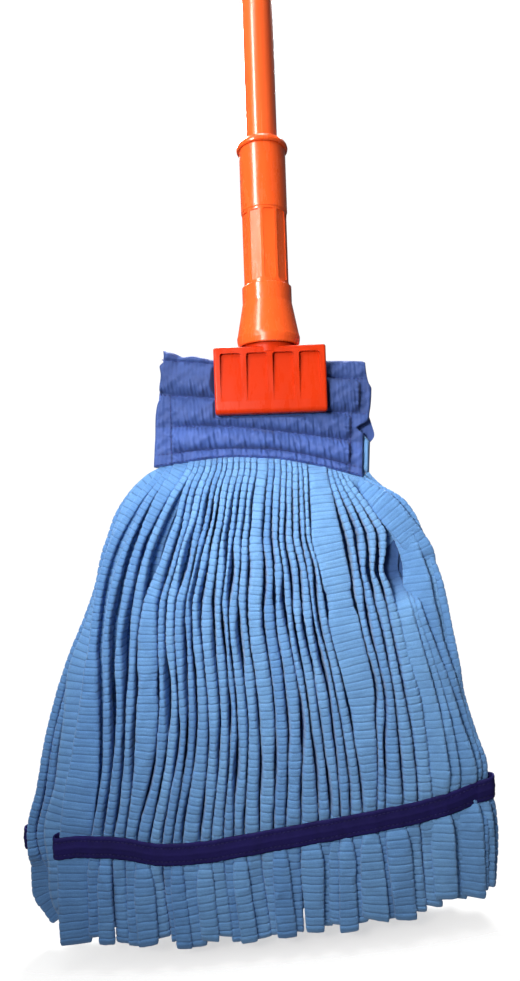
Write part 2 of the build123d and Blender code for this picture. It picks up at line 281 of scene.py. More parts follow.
def moulded_plastic(name, base, deep, roughness, grain, coat=0.0, gloss=0.5):
    """Pigmented moulded plastic: faint flow marks, fine grain, scuffs that change the gloss."""
    look = Look(name, base, roughness, Coat_Weight=coat, Coat_Roughness=0.08, Specular_IOR_Level=gloss)
    flow = look.noise(22, 3, 0.5, (1, 1, 0.35))
    look.feed("Base Color", look.ramp(flow, (0.3, deep), (0.7, base)))
    scuff = look.noise(160, 6, 0.7, (1, 1, 0.25))
    look.feed("Roughness", look.spread(scuff, 0.35, 0.7, roughness - 0.06, roughness + 0.14))
    wave = look.bump(flow, 0.0012, 0.16)
    look.feed("Normal", look.bump(look.noise(1500, 2, 0.5), 0.0002, grain, wave))
    return look.material


def fibreglass():
    """Pigmented pultruded tube: long fibre streaks under a glossy skin."""
    base, deep = (0.86, 0.128, 0.024), (0.78, 0.092, 0.016)
    look = Look("fibreglass_orange", base, 0.2, Coat_Weight=0.6, Coat_Roughness=0.06)
    fibre = look.noise(260, 5, 0.6, (1, 1, 0.02))
    look.feed("Base Color", look.ramp(fibre, (0.3, deep), (0.65, base)))
    look.feed("Roughness", look.spread(fibre, 0.3, 0.7, 0.14, 0.3))
    look.feed("Normal", look.bump(fibre, 0.0003, 0.25))
    return look.material


def metal(name, base, roughness):
    """Drawn steel with fine marks."""
    look = Look(name, base, roughness, Metallic=1.0)
    marks = look.noise(900, 4, 0.6, (0.1, 1, 1))
    look.feed("Roughness", look.spread(marks, 0.3, 0.7, roughness - 0.08, roughness + 0.12))
    look.feed("Normal", look.bump(marks, 0.0001, 0.3))
    return look.material


def microfibre():
    """Knitted microfibre: bright pile on the ridges, painted shade in the deep creases, stray fuzz, faint batch
    differences.
    """
    pile, shade = (0.154, 0.354, 0.70), (0.026, 0.066, 0.205)
    look = Look("microfibre_blue", pile, 0.92, Sheen_Weight=0.35, Sheen_Roughness=0.45,
                Specular_IOR_Level=0.15, Sheen_Tint=(0.75, 0.87, 1.0, 1))
    soft = look.ramp(look.noise(55, 5, 0.65), (0.25, (0.128, 0.30, 0.615)), (0.55, pile),
                     (0.8, (0.183, 0.395, 0.73)))
    tinted = look.combine("MULTIPLY", soft, look.ramp(
        look.attribute("batch"), (0.0, (0.80, 0.84, 0.90)), (0.5, (1, 1, 1)), (1.0, (1.10, 1.07, 1.03))))
    fuzz = look.noise(1500, 3, 0.7)
    fuzzy = look.combine("MULTIPLY", tinted, look.ramp(
        fuzz, (0.3, (0.80, 0.82, 0.86)), (0.65, (1.08, 1.07, 1.05))))
    # painted shade: the crease attribute mixes the pile towards the dark shade colour in grooves, folds and hollows
    look.feed("Base Color", look.combine("MIX", fuzzy, shade, look.attribute("crease")))
    pill = look.bump(fuzz, 0.0006, 0.55)
    look.feed("Normal", look.bump(look.noise(2600, 2, 0.6, (1, 1, 1.6)), 0.0003, 0.5, pill))
    return look.material


def ribbed_cloth(name, base, deep, pitch_mm, roughness, sheen):
    """Woven or ribbed polyester: fine upright ribs from the cloth's own attribute, shade in the creases."""
    look = Look(name, base, roughness, Sheen_Weight=sheen, Sheen_Roughness=0.4, Specular_IOR_Level=0.25)
    rib = look.spread(look.sine(look.attribute("across"), 2 * math.pi / pitch_mm), -1, 1, 0, 1)
    tone = look.ramp(look.noise(60, 5, 0.6), (0.3, deep), (0.6, base))
    ribbed = look.combine("MULTIPLY", tone, look.ramp(rib, (0.0, (0.92, 0.92, 0.94)), (0.6, (1.03, 1.03, 1.02))))
    # painted shade: the crease attribute mixes the cloth towards a fifth of its own colour
    painted_shade = tuple(channel * 0.2 for channel in base)
    look.feed("Base Color", look.combine("MIX", ribbed, painted_shade, look.attribute("crease")))
    weave = look.bump(rib, 0.0003, 0.25)
    look.feed("Normal", look.bump(look.noise(2200, 2, 0.6), 0.0003, 0.4, weave))
    return look.material


PLASTIC_COLLAR = moulded_plastic("collar_orange", (0.88, 0.118, 0.018), (0.80, 0.092, 0.013), 0.22, 0.10, 0.3)
PLASTIC_JAW = moulded_plastic("jaw_orange", (0.51, 0.030, 0.004), (0.47, 0.026, 0.0035), 0.27, 0.08, 0.0, 0.15)
PLASTIC_CORE = moulded_plastic("core_orange", (0.80, 0.085, 0.014), (0.68, 0.06, 0.010), 0.42, 0.25)
PLASTIC_CAP = moulded_plastic("cap_orange", (0.82, 0.085, 0.014), (0.72, 0.06, 0.010), 0.3, 0.15)
PLASTIC_WASHER = moulded_plastic("washer_white", (0.80, 0.79, 0.74), (0.72, 0.71, 0.66), 0.4, 0.1)
FIBREGLASS = fibreglass()
STEEL = metal("pin_steel", (0.60, 0.60, 0.62), 0.3)
RING_STEEL = metal("ring_steel", (0.45, 0.45, 0.48), 0.35)
MICROFIBRE = microfibre()
BAND_CLOTH = ribbed_cloth("headband_royal", (0.053, 0.110, 0.375), (0.043, 0.089, 0.31), BAND_RIB, 0.65, 0.1)
TAPE_CLOTH = ribbed_cloth("tape_navy", (0.012, 0.0085, 0.108), (0.0085, 0.0062, 0.08), 1.1, 0.75, 0.0)
TAPE_THREAD = ribbed_cloth("thread_navy", (0.014, 0.012, 0.095), (0.010, 0.009, 0.07), 0.5, 0.6, 0.0)
THREAD = ribbed_cloth("thread_blue", (0.03, 0.045, 0.21), (0.02, 0.03, 0.16), 0.5, 0.6, 0.05)


# ---------------- hardware carried over from the CAD
CAD_MATERIALS = {
    "handle_tube": FIBREGLASS, "hang_cap": PLASTIC_CAP, "clamp_stem": PLASTIC_CORE, "stem_rivet": STEEL,
    "jaw_pins": STEEL, "collar_sleeve": PLASTIC_COLLAR, "collar_bell": PLASTIC_COLLAR,
    "thrust_washer": PLASTIC_WASHER, "snap_ring": RING_STEEL, "jaw_front": PLASTIC_JAW,
    "jaw_rear": PLASTIC_JAW,
}
for node_name, node_material in CAD_MATERIALS.items():
    node_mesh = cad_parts[node_name].data
    for slot_index in range(len(node_mesh.materials)):
        node_mesh.materials[slot_index] = node_material


def on_mop(piece, replaced=None):
    """Says that a piece rides on the mop head and which CAD node it replaces."""
    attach(piece, MOP)
    if replaced:
        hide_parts(replaced)


# ---------------- the hanging layers
def hung(x, level):
    """Height of a point at a nominal level: the top hangs askew with the band, the tail rises towards +X."""
    share = (HANG_TOP - level) / (HANG_TOP - HANG_END)
    slope = (1 - share) * HEAD_SLOPE + share * TAIL_SLOPE
    return level + slope * (x - (1 - share) * BAND_CENTRE[0])


FRONT_LEFT = curve((-80, -89), (-98, -92), (-122, -111), (-140, -124), (-161, -135), (-191, -145), (-233, -153),
    (-281, -162), (-315, -169), (-343, -175), (-379, -181), (-420, -184), (-457, -181))
FRONT_RIGHT = curve((-80, 72), (-99, 75), (-111, 88), (-127, 105), (-156, 117), (-193, 131), (-235, 136), (-260, 138),
    (-285, 140), (-310, 145), (-335, 151), (-370, 163), (-412, 169), (-457, 165))
REAR_LEFT = curve((-80, -89), (-99, -94), (-109, -110), (-130, -129), (-160, -143), (-198, -154), (-228, -167),
    (-250, -178), (-272, -187), (-307, -199), (-340, -207), (-372, -216), (-405, -212), (-430, -212), (-457, -198))
REAR_RIGHT = curve((-80, 74), (-99, 80), (-120, 102), (-150, 121), (-200, 130), (-280, 138), (-370, 154), (-457, 150))
# nominal level of the headband's hem, and heights of the tail tapes and of the strips' lower ends, along X
HEM = curve((-110, -98), (-93, -97), (-42, -88.6), (-5, -88), (33, -92.8), (70, -101.4), (90, -103))
FRONT_TAPE = curve((-186, -391), (-160, -388.8), (-144, -387.8), (-121, -389.4), (-98, -393.5), (-67, -392.6),
    (-36, -388.5), (-5, -384), (57, -375), (119, -365), (157, -356), (168, -353))
REAR_TAPE = curve((-216, -399), (-190, -397), (-100, -390), (0, -382), (100, -370), (155, -359))
FRONT_END = curve((-190, -460), (-170, -466), (-90, -468), (-10, -465), (40, -458), (90, -450), (166, -436))
REAR_END = curve((-216, -466), (-189, -470), (-150, -468), (-50, -464), (90, -451), (155, -440))
# how far out the layer swells, by distance below the hem
SWELL = curve((-9, 2.9), (-2, 3.0), (0.5, 4.4), (4, 8.0), (10, 11.5), (20, 15.5), (34, 19.5), (62, 24), (120, 28),
    (200, 30), (300, 31.5), (365, 34))
LEVELS = (-98, -160, -270, -372, -457)
# strips that lie flat or wide for part of their way: number in the layer, and its share at LEVELS
FRONT_WIDE = {
    0: (1, 1, 1, 3, 3), 2: (2.4, 1.4, 1, 0.9, 1), 4: (0.9, 1.3, 2.4, 1, 1.2),
    9: (0.8, 0.9, 1.1, 1.5, 1.3), 12: (1, 0.8, 0.7, 0.9, 1), 15: (1.9, 1.9, 1.6, 1.2, 0.9),
    18: (1, 0.9, 0.8, 1.5, 1.2), 24: (1, 1, 0.8, 0.6, 0.8), 25: (1, 1, 0.9, 1.4, 1.2),
    26: (1, 1, 1, 1.2, 1.1), 27: (1, 1, 1.3, 1.2, 1.1), 28: (1, 1, 1.2, 1, 1),
    29: (1, 1, 1, 0.9, 1), 30: (1, 1, 1.3, 1.2, 1.1), 31: (1, 2.6, 2.4, 1.5, 1.2),
    32: (0.4, 0.4, 0.4, 0.5, 1), 33: (0.6, 1.6, 1.8, 1.3, 1.2), 34: (0.4, 0.4, 0.4, 0.5, 0.9),
}
REAR_WIDE = {0: (1, 1, 0.8, 0.8, 1.8), 1: (1, 1, 0.8, 0.8, 1), 6: (1.6, 1.5, 2, 1, 1),
             13: (0.9, 1, 1.6, 2.2, 1.5), 20: (2.2, 2, 1.4, 1, 1), 29: (1, 1.4, 1.8, 1.6, 1.2)}
# X of some strips' edges, at the -X end and under the band's +X corner: (strip, which edge)
PINNED = {
    (0, "high"): curve((-80, -84), (-99, -87), (-122, -105), (-161, -128), (-198, -140), (-247, -145), (-316, -145),
        (-344, -149), (-380, -155), (-457, -156)),
    (1, "high"): curve((-80, -79), (-99, -82), (-122, -97), (-161, -117), (-206, -129), (-233, -133), (-317, -136),
        (-380, -145), (-457, -146)),
    (23, "low"): curve((-80, 27), (-99, 28), (-147, 27.5), (-175, 33), (-218, 38.5), (-259, 47.5), (-300, 54),
        (-376, 60), (-457, 60)),
    (23, "high"): curve((-80, 43), (-99, 44), (-118, 47), (-152, 52), (-187, 58), (-219, 63), (-283, 73), (-330, 73),
        (-376, 71), (-457, 75)),
    (27, "high"): curve((-80, 58), (-99, 60), (-110, 65.5), (-124, 75), (-137, 83), (-149, 88.3), (-163, 87.8),
        (-177, 86), (-192, 91), (-206, 94), (-242, 101), (-301, 112), (-376, 116), (-457, 118)),
    (31, "low"): curve((-80, 62), (-99, 66), (-120, 80), (-140, 93), (-163, 102), (-206, 106), (-242, 118),
        (-271, 128), (-301, 136), (-340, 145), (-376, 150), (-457, 150)),
}
TUCKED = {28, 29, 30}           # these stay at the back of the corner's hollow
FLAP = 34                       # a flat strip that lies across the corner, then hangs behind the others
FLAP_PATH = curve((-80, 62), (-98, 67), (-112, 76), (-124, 87), (-138, 98), (-152, 108), (-166, 116), (-182, 120),
    (-240, 128), (-300, 137), (-376, 152), (-457, 150))
CORNER_DEPTH = curve((-104, 0), (-126, 1), (-182, 1), (-208, 0))
CORNER_HOLLOW = curve((-108, 0), (-148, 1), (-170, 0.75), (-200, 0))
EDGE_HOLLOW = curve((-106, 0), (-150, 1), (-260, 0.8), (-340, 0.25), (-368, 0))
HOLLOWS = {
    1: (0.6, EDGE_HOLLOW), 2: (0.5, EDGE_HOLLOW), 3: (0.3, EDGE_HOLLOW), 4: (1.3, CORNER_HOLLOW),
    24: (0.5, CORNER_HOLLOW), 25: (0.35, CORNER_HOLLOW), 26: (0.35, CORNER_HOLLOW), 27: (0.3, CORNER_HOLLOW),
}
FRONT_FAN = 28                  # strips from here on lie over each other like shingles


class Layer:
    """One layer of strips: where each strip runs, how wide it shows and how far out it lies."""

    def __init__(self, side, left, right, tape, end, wide, seed):
        self.side, self.left, self.right, self.tape, self.end = side, left, right, tape, end
        rng = np.random.default_rng(seed)
        self.level = np.linspace(-76.0, HANG_END - 14, 300)
        shares = []
        for number in range(STRIPS):
            drift = wander(rng, 430, 2)
            share = 1 + 0.15 * drift(self.level) + rng.normal(0, 0.12)
            if number in wide:
                share = curve(*zip(LEVELS, wide[number]))(self.level)
            hollow = 0 * self.level
            if side < 0 and number in HOLLOWS:
                amount, reach = HOLLOWS[number]
                hollow = amount * reach(self.level)
            shares += [hollow, np.maximum(share, 0.35)]
        edges = np.concatenate([np.zeros((1, len(self.level))), np.cumsum(shares, axis=0)])
        edges /= edges[-1]
        breadth = self.right(self.level) - self.left(self.level)
        self.edges = self.left(self.level) + edges * breadth
        if side < 0:
            self.pin_edges()

    def pin_edges(self):
        """Moves the pinned edges to their own lines, and those between in proportion."""
        rows = [0] + [2 * number + (1 if which == "low" else 2) for number, which in PINNED] + [2 * STRIPS]
        wanted = [self.edges[0]] + [line(self.level) for line in PINNED.values()] + [self.edges[-1]]
        free = self.edges.copy()
        for column in range(len(self.level)):
            self.edges[:, column] = np.interp(free[:, column], free[rows, column], [w[column] for w in wanted])

    def slot_of(self, number):
        """Low and high X of a strip's slot at every level."""
        return self.edges[2 * number + 1], self.edges[2 * number + 2]

    def height(self, x, level):
        """Real height: hung askew, with the tape and the ends at their own lines."""
        to_tape = self.tape(x) - hung(x, TAPE_LEVEL)
        to_end = self.end(x) - hung(x, HANG_END)
        near_tape = smoothstep(-230, TAPE_LEVEL, level)
        near_end = smoothstep(TAPE_LEVEL - 12, HANG_END, level)
        return hung(x, level) + to_tape * near_tape * (1 - near_end) + to_end * near_end

    def face(self, x, level):
        """How far in front of (or behind) the middle plane the layer's outer face is."""
        left, right = self.left(level), self.right(level)
        across = np.clip((2 * x - left - right) / (right - left), -1, 1)
        pinch = 2.6 * np.exp(-(np.abs(level - TAPE_LEVEL) / 12.0) ** 4)
        swelled = SWELL(HEM(x) - level) - pinch
        return swelled * (1 - 0.45 * np.abs(across) ** 5)


def outline(points, squareness):
    """Unit outline of a soft rounded rectangle: (along width, along depth), width side first."""
    angle = np.linspace(0, 2 * math.pi, points, endpoint=False) + math.pi / points
    # corners turn fastest, so they get the points
    angle = angle - 0.16 * np.sin(4 * angle)
    cos, sin = np.cos(angle), np.sin(angle)
    power = 2 / squareness
    return np.sign(cos) * np.abs(cos) ** power, np.sign(sin) * np.abs(sin) ** power


def sweep_strip(builder, path, width, depth, lean, side, profile, phases, rng, folds=0.0, slant=0.0, shade=0.6,
                batch_tone_and_edge_shade=1.0, painted_shade=None):
    """Adds one closed knitted strip with real ridges along a path."""
    run = np.concatenate([[0], np.cumsum(np.linalg.norm(np.diff(path, axis=0), axis=1))])
    ridge = RIDGE * rng.uniform(0.95, 1.05)
    ridges = int(run[-1] / ridge)
    at = np.append((np.arange(ridges)[:, None] + np.array(phases)[None, :]).ravel(), ridges) * ridge
    phase = np.append(np.tile(phases, ridges), 0.0)
    centre = np.stack([np.interp(at, run, path[:, axis]) for axis in range(3)], -1)
    width, depth, lean = (np.interp(at, run, value) for value in (width, depth, lean))
    tangent = unit(np.gradient(centre, axis=0))
    outward = unit(np.array([0.0, side, 0.0]) - tangent * (side * tangent[:, 1:2]))
    across = np.cross(outward, tangent) * side
    cos, sin = np.cos(lean)[:, None], np.sin(lean)[:, None]
    width_way = cos * across + sin * outward
    depth_way = cos * outward - sin * across

    fullness = np.append(np.repeat(rng.uniform(-0.13, 0.13, ridges), len(phases)), 0.0)
    from_groove = np.minimum(phase, 1 - phase)
    sink = 0.65 * np.exp(-((from_groove / 0.07) ** 2)) + 0.16 * np.exp(-from_groove / 0.2)
    sink = sink + 0.14 * (from_groove > 0.49)
    sink = (sink - fullness * (from_groove > 0.02)) * np.clip(depth / 6.0, 0.3, 1)
    to_end = at[-1] - at
    fold = np.sqrt(np.clip(to_end / 4.0, 0.03, 1))
    from_top = np.sqrt(np.clip((at + 0.5) / 3.0, 0.03, 1))
    half_width = np.maximum((width / 2 - sink) * (0.9 + 0.1 * fold), 0.3)
    half_depth = np.maximum((depth / 2 - sink) * fold * from_top, 0.12)
    wide, deep = profile
    b = wide[None, :] * half_width[:, None]
    a = deep[None, :] * half_depth[:, None]
    ripple, drift = wander(rng, 15), wander(rng, 70)
    wrinkle = ripple(b + 6 * drift(at)[:, None]) * np.minimum(width / 14, 1)[:, None] ** 2
    a = a + folds * wrinkle
    drop = slant * b * np.clip(1 - to_end / 26, 0, 1)[:, None]
    points = (centre[:, None, :] + b[..., None] * width_way[:, None, :] + a[..., None] * depth_way[:, None, :]
              - drop[..., None] * np.array([0.0, 0.0, 1.0]))
    rings, around = a.shape
    ends = np.stack([points[0].mean(0), points[-1].mean(0) + tangent[-1] * 0.3])
    quads, triangles = tube_faces(rings, around)
    if side > 0:
        quads, triangles = quads[:, ::-1], triangles[:, ::-1]
    # painted shade in the grooves between the ridges, plus any painted shadow passed in for a hollow
    crease = shade * ((from_groove < 0.01) + 0.4 * (from_groove > 0.49))
    if painted_shade is not None:
        crease = np.maximum(crease, np.interp(at, run, painted_shade))
    crease = np.repeat(crease, around)
    # batch: a random tone per strip, scaled down to near the darkest tint where painted shade is wanted
    builder.add(np.concatenate([points.reshape(-1, 3), ends]), quads, triangles,
                crease=np.concatenate([crease, [0, 0]]), batch=rng.uniform(0, 1) * batch_tone_and_edge_shade)


OUTER_PROFILE = outline(20, 4.2)
INNER_PROFILE = outline(12, 2.6)
OUTER_PHASES = (0.0, 0.075, 0.19, 0.42, 0.5, 0.58, 0.81, 0.925)
INNER_PHASES = (0.0, 0.1, 0.9)
TUBE_GIRTH = 27.0               # width plus depth of a strip however it is folded
TAPE_REACH = 16.0               # how far above and below the tape it holds the strips still
LOOSE_FRONT = {0, 2, 5, 8, 10, 13, 16, 18, 21, 23, 25, 28, 30, 32, 34}
LOOSE_WIDE = (12, 25)           # least and most width of those strips once open below the tape
FAN_WIDE = (17, 22)             # least and most width of the strips that overlap
FAN_THICK = 3.8
FAN_LEAN = math.radians(20)
FLAP_WIDE = 21
TUCK = 14                       # how far back the tucked strips go
# strength of the painted shadow on the tucked strips
TUCK_PAINTED_SHADE = 0.93


def outer_strip(layer, number, builder):
    """One strip of the outer face, folded lengthwise so that it shows a narrow front."""
    front = layer.side < 0
    fan = front and number >= FRONT_FAN
    loose = number in LOOSE_FRONT
    rng = np.random.default_rng(1000 * (1 if front else 2) + number)
    low, high = layer.slot_of(number)
    start = float(HEM((low + high)[30] / 2)) + 7
    keep = layer.level < start
    level, low, high = layer.level[keep], low[keep], high[keep]
    slot = high - low
    sway, heave, gape, tip = (wander(rng, reach, 2) for reach in (190, 110, 90, 160))
    below_hem = HEM((low + high) / 2) - level
    held = np.exp(-((level - TAPE_LEVEL) / TAPE_REACH) ** 2)
    free = smoothstep(3, 40, below_hem) * (1 - held)
    fringe = smoothstep(TAPE_LEVEL + 4, TAPE_LEVEL - 30, level)
    tighter = 1 - 0.65 * smoothstep(-220, -340, level)
    gap = slot * (0.015 + 0.13 * np.clip(gape(level), 0, 1) ** 2 * free * tighter)
    x = (low + high) / 2 + 0.25 * sway(level) * free

    # below the tape every second or third strip opens out flat in front of its neighbours
    opened = np.clip(slot * rng.uniform(1.35, 1.8), *LOOSE_WIDE) if loose else slot * rng.uniform(1.05, 1.25)
    shown = (slot - gap) * (1 - fringe) + opened * fringe
    shown = shown * (1 + fringe * rng.uniform(-0.10, 0.10) * smoothstep(-410, HANG_END, level))
    x = x + fringe * rng.uniform(-1.5, 1.5)
    recess = rng.uniform(0, 1.1) * free + 0.5 * heave(level) * free * (1 - fringe)
    recess = recess + fringe * (rng.uniform(-1.5, 0.0) if loose else rng.uniform(2.8, 4.5))
    depth = np.maximum(TUBE_GIRTH - shown, 4.0)
    depth = depth * (1 - fringe) + np.minimum(depth, 4.6 if loose else 8.0) * fringe
    lean = math.radians(6) * tip(level) * free * (0 < number < STRIPS - 1)

    # towards +X the strips lie flat and overlap like shingles
    if fan:
        flat = smoothstep(-2, 24, below_hem) * (1 - 0.5 * fringe) * (1 - 0.85 * held)
        width = shown + flat * (np.clip(1.75 * slot, *FAN_WIDE) - shown)
        depth = depth + flat * (FAN_THICK - depth)
        lean = lean * (1 - flat) - FAN_LEAN * flat
        recess = recess + 2.2 * smoothstep(5.0, 2.5, slot) * flat
    # painted shadow on the tucked strips at the back of the corner's hollow
    painted_shade = 0 * level
    if front and number in TUCKED:
        recess = recess + TUCK * CORNER_DEPTH(level)
        painted_shade = TUCK_PAINTED_SHADE * CORNER_DEPTH(level)
    if front and number == FLAP:
        x = FLAP_PATH(level)
        on_top = smoothstep(-184, -160, level)
        width = width + on_top * smoothstep(-6, 26, below_hem) * (FLAP_WIDE - width)
        lean = lean * (1 - on_top) - math.radians(8) * on_top
        recess = (8 - 10.5 * on_top) * smoothstep(0, 20, below_hem) * (1 - fringe)
    outer = layer.face(x, level) - recess
    back = 1.8 + 5.2 * smoothstep(-2, 25, below_hem)
    depth = np.clip(depth, 0.8, np.maximum(outer - back, 0.8))
    most = np.arcsin(np.clip(0.42 * shown / depth, 0, 0.5))
    if not fan:
        lean = np.clip(lean, -most, most)
        width = np.maximum((shown - depth * np.abs(np.sin(lean))) / np.cos(lean), 0.5 * shown)
    path = np.stack([x, layer.side * (outer - depth / 2), layer.height(x, level)], -1)
    last = float(layer.end(x[-1])) + rng.uniform(-1.4, 1.4)
    on = path[:, 2] > last
    # the three strips at the -X edge get near the darkest batch tint: painted shade on that edge
    sweep_strip(builder, path[on], width[on], depth[on], lean[on], layer.side, OUTER_PROFILE,
                OUTER_PHASES, rng, folds=0.5, slant=rng.uniform(-0.2, 0.2), painted_shade=painted_shade[on],
                shade=0.3 if fan else 0.52, batch_tone_and_edge_shade=0.1 if number < 3 else 1.0)


def inner_strip(layer, number, builder):
    """One strip of the lining that lies flat behind the outer face."""
    rng = np.random.default_rng(5000 * (1 if layer.side < 0 else 2) + number)
    level = layer.level[layer.level < -84]
    share = (number + 0.5) / LINING
    inset = 6 + (13 * smoothstep(-200, -340, level) if layer.side > 0 else 0)
    left, right = layer.left(level) + inset, layer.right(level) - 7
    x = left + share * (right - left) + 1.5 * wander(rng, 150)(level)
    below_hem = HEM(x) - level
    out = smoothstep(-2, 25, below_hem)
    width = np.minimum((right - left) / LINING * 1.4, 24.5)
    thick = 0.5 + 2.6 * out
    middle = 0.6 + 1.3 * out if number % 2 else 1.35 + 3.9 * out
    shared = 0.9 * out * np.sin(x / 17 + level / 60)
    path = np.stack([x, layer.side * middle + shared, layer.height(x, level)], -1)
    on = path[:, 2] > float(layer.end(x[-1])) + rng.uniform(2, 5)
    sweep_strip(builder, path[on], width[on], thick[on], 0 * width[on], layer.side, INNER_PROFILE,
                INNER_PHASES, rng)


def hang_layer(side_name, layer):
    """Five banks of strips for one layer; each bank replaces its CAD bank."""
    per_bank, lining = STRIPS // BANKS, LINING // BANKS
    for bank in range(BANKS):
        builder = Builder()
        for number in range(bank * per_bank, (bank + 1) * per_bank):
            outer_strip(layer, number, builder)
        for number in range(bank * lining, (bank + 1) * lining):
            inner_strip(layer, number, builder)
        piece = builder.piece(f"tube_strips_{side_name}_{bank + 1}", MICROFIBRE)
        on_mop(piece, f"strips_{side_name}_{bank + 1}")


front_layer = Layer(-1, FRONT_LEFT, FRONT_RIGHT, FRONT_TAPE, FRONT_END, FRONT_WIDE, 11)
rear_layer = Layer(1, REAR_LEFT, REAR_RIGHT, REAR_TAPE, REAR_END, REAR_WIDE, 23)
hang_layer("front", front_layer)
hang_layer("rear", rear_layer)


# ---------------- quilted headband
BAND_HALF = (86.0, 45.0)
# quilting lines as height over the band's length share, from its own middle
ROWS = {
    "top": curve((-1, 47.5), (-0.95, 50.5), (-0.86, 48.5), (-0.78, 45.8), (-0.7, 46.8), (-0.45, 44), (0.6, 46),
        (0.9, 46.5), (1, 43)),
    "tuck": curve((-1, 42.5), (-0.5, 40.5), (0.6, 32.5), (1, 31.5)),
    "crease": curve((-1, 14), (-0.5, 12.7), (0.6, 4.5), (1, 3.2)),
    "middle": curve((-1, -12), (-0.4, -10), (0, -11.6), (0.5, -15.5), (1, -20)),
    "lower": curve((-1, -35), (-0.4, -28.2), (0, -27.4), (0.5, -32.4), (1, -42)),
    "hem": curve((-1, -45), (-0.4, -35.8), (0, -35), (0.5, -39.6), (1, -49.2)),
}
PUFFS = (3.2, 9.6, 7.8, 8.4, 2.6)      # fullness of the rows between those lines
BORDER_LEFT, BORDER_RIGHT = -75.6, 70.8     # where the end borders are sewn down
BORDER_LEAN = 0.05
JAW_HALF = 44.5
JAW_LOW = -53.0
GRIPPED = 7.3                   # half thickness of the band between the jaws
PANEL_BACK = 3.15
STITCH_HALF = 1.35


def band_to_mop(u, v, y):
    """Band coordinates (along, up, depth) to millimetres about the jaw top."""
    cos, sin = math.cos(BAND_TURN), math.sin(BAND_TURN)
    return np.stack([BAND_CENTRE[0] + u * cos + v * sin, y, BAND_CENTRE[1] - u * sin + v * cos], -1)


class Quilt:
    """Puffed height of one headband panel, with its puckers and sewn-down borders, and the painted shade that goes
    with them.
    """

    def __init__(self, seed):
        rng = np.random.default_rng(seed)
        self.puckers = [(wander(rng, 6.4, 2), wander(rng, 30, 2)) for _ in range(4)]
        self.side_puckers = wander(rng, 5.6, 2)
        self.swell, self.sag, self.lean = wander(rng, 75, 2), wander(rng, 42, 2), wander(rng, 16, 2)

    def __call__(self, u, v):
        share = u / BAND_HALF[0]
        rows = [line(share) for line in ROWS.values()]
        height = np.full(u.shape, 1.0)
        crease = np.zeros(u.shape)
        for top, low, puff in zip(rows[:-1], rows[1:], PUFFS):
            above, below = top - v, v - low
            inside = (above >= 0) & (below >= 0)
            depth = np.maximum(top - low, 1)
            rise = 1 - np.exp(-np.maximum(above, 0) / (0.24 * depth))
            rise = rise * (1 - np.exp(-np.maximum(below, 0) / (0.15 * depth)))
            full = puff * (1 + 0.16 * self.swell(u + 2.3 * low))
            height = np.where(inside, 1.0 + full * rise, height)
        for index, line in enumerate(rows[1:5]):
            pucker, strength = self.puckers[index]
            above = v - line
            fold = pucker(u + 0.2 * above) * (0.75 + 0.35 * strength(u))
            reach = np.where(above > 0, 7.5, 3.2)
            near = np.exp(-np.abs(above) / reach) * (1 - np.exp(-((above / 1.3) ** 2)))
            deep = 0.45 if index == 0 else 1.6
            height = height + deep * fold * near
            # painted shade just above and below each quilting line, deeper where the puckers fold in
            shade = np.exp(-np.maximum(above, 0) / 2.6 - np.maximum(-above, 0) / 0.7)
            shade = shade * (0.45 - 0.3 * fold)
            crease = np.maximum(crease, (0.4 if index == 0 else 0.8) * shade)
        # borders at both ends, bound and sewn flat, with painted shade along each seam; above the crease only the +X
        # end has one
        right_line = np.where(v > rows[2], 77.5, BORDER_RIGHT)
        for line, present in ((BORDER_LEFT - BORDER_LEAN * v, v < rows[2] + 0.5), (right_line, v < rows[1] + 1)):
            outside = np.where(line > 0, u - line, line - u)
            flat = smoothstep(-2.4, 0.6, outside) * present
            height = height + flat * (2.3 + 0.9 * smoothstep(3, 8, outside) - height) * 0.88
            near = np.exp(-np.abs(outside + 1.5) / 3.4) * present
            height = height + 0.55 * self.side_puckers(v) * near
            crease = np.maximum(crease, 0.75 * present * np.exp(-((outside / 0.9) ** 2)))
        # painted shade on the upper rows: darker above the middle line and darker still above the crease line, so the
        # lowest row is lightest and the rolled top row darkest
        painted_row_shade = 0.28 * smoothstep(-1.5, 1.5, v - rows[3]) + 0.14 * smoothstep(-1.5, 1.5, v - rows[2])
        crease = np.maximum(crease, painted_row_shade)
        # the bunched corner at the -X end, and slack in the cloth
        height = height + 2.4 * np.exp(-(((u + 79) / 6.0) ** 2 + ((v - 43) / 4.5) ** 2))
        height = height - 2.2 * np.exp(-(((u + 71) / 3.2) ** 2 + ((v - 44) / 7.0) ** 2))
        height = height + 0.7 * self.sag(u + 1.7 * v) + 0.35 * self.lean(0.8 * u - v)
        height = height + 0.035 * np.sin(2 * math.pi * u / BAND_RIB)
        # where the jaws grip, the band is pressed flat
        where = band_to_mop(u, v, np.zeros_like(u))
        beside = np.maximum(np.abs(where[..., 0]) - JAW_HALF - 0.8, 0)
        below = np.maximum(JAW_LOW - 1.0 - where[..., 2], 0)
        away = np.hypot(beside, below)
        most = GRIPPED - PANEL_BACK + 9.0 * (1 - np.exp(-away / 3.6))
        return np.clip(height, 0.8, most), np.clip(crease, 0, 1)


def band_outline(side):
    """Left and right ends of a panel as functions of height in the band."""
    if side < 0:
        left = curve((-50, -88.5), (-23, -88), (8, -86.5), (13, -84), (18, -85.5), (30, -84.6), (37, -85.8),
            (42, -82.6), (51, -83.5))
        right = curve((-50, 82), (-34, 81.5), (-13, 81.5), (-8, 76.5), (-3, 84), (5, 86), (24, 87), (29, 84.5),
            (36, 82.6), (47, 81))
    else:
        left = curve((-50, -88), (-20, -88.5), (10, -87), (47, -84))
        right = curve((-50, 68), (-34, 72), (-26, 78), (-20, 87), (-13, 91.5), (-4, 89), (8, 85), (47, 82))
    return left, right


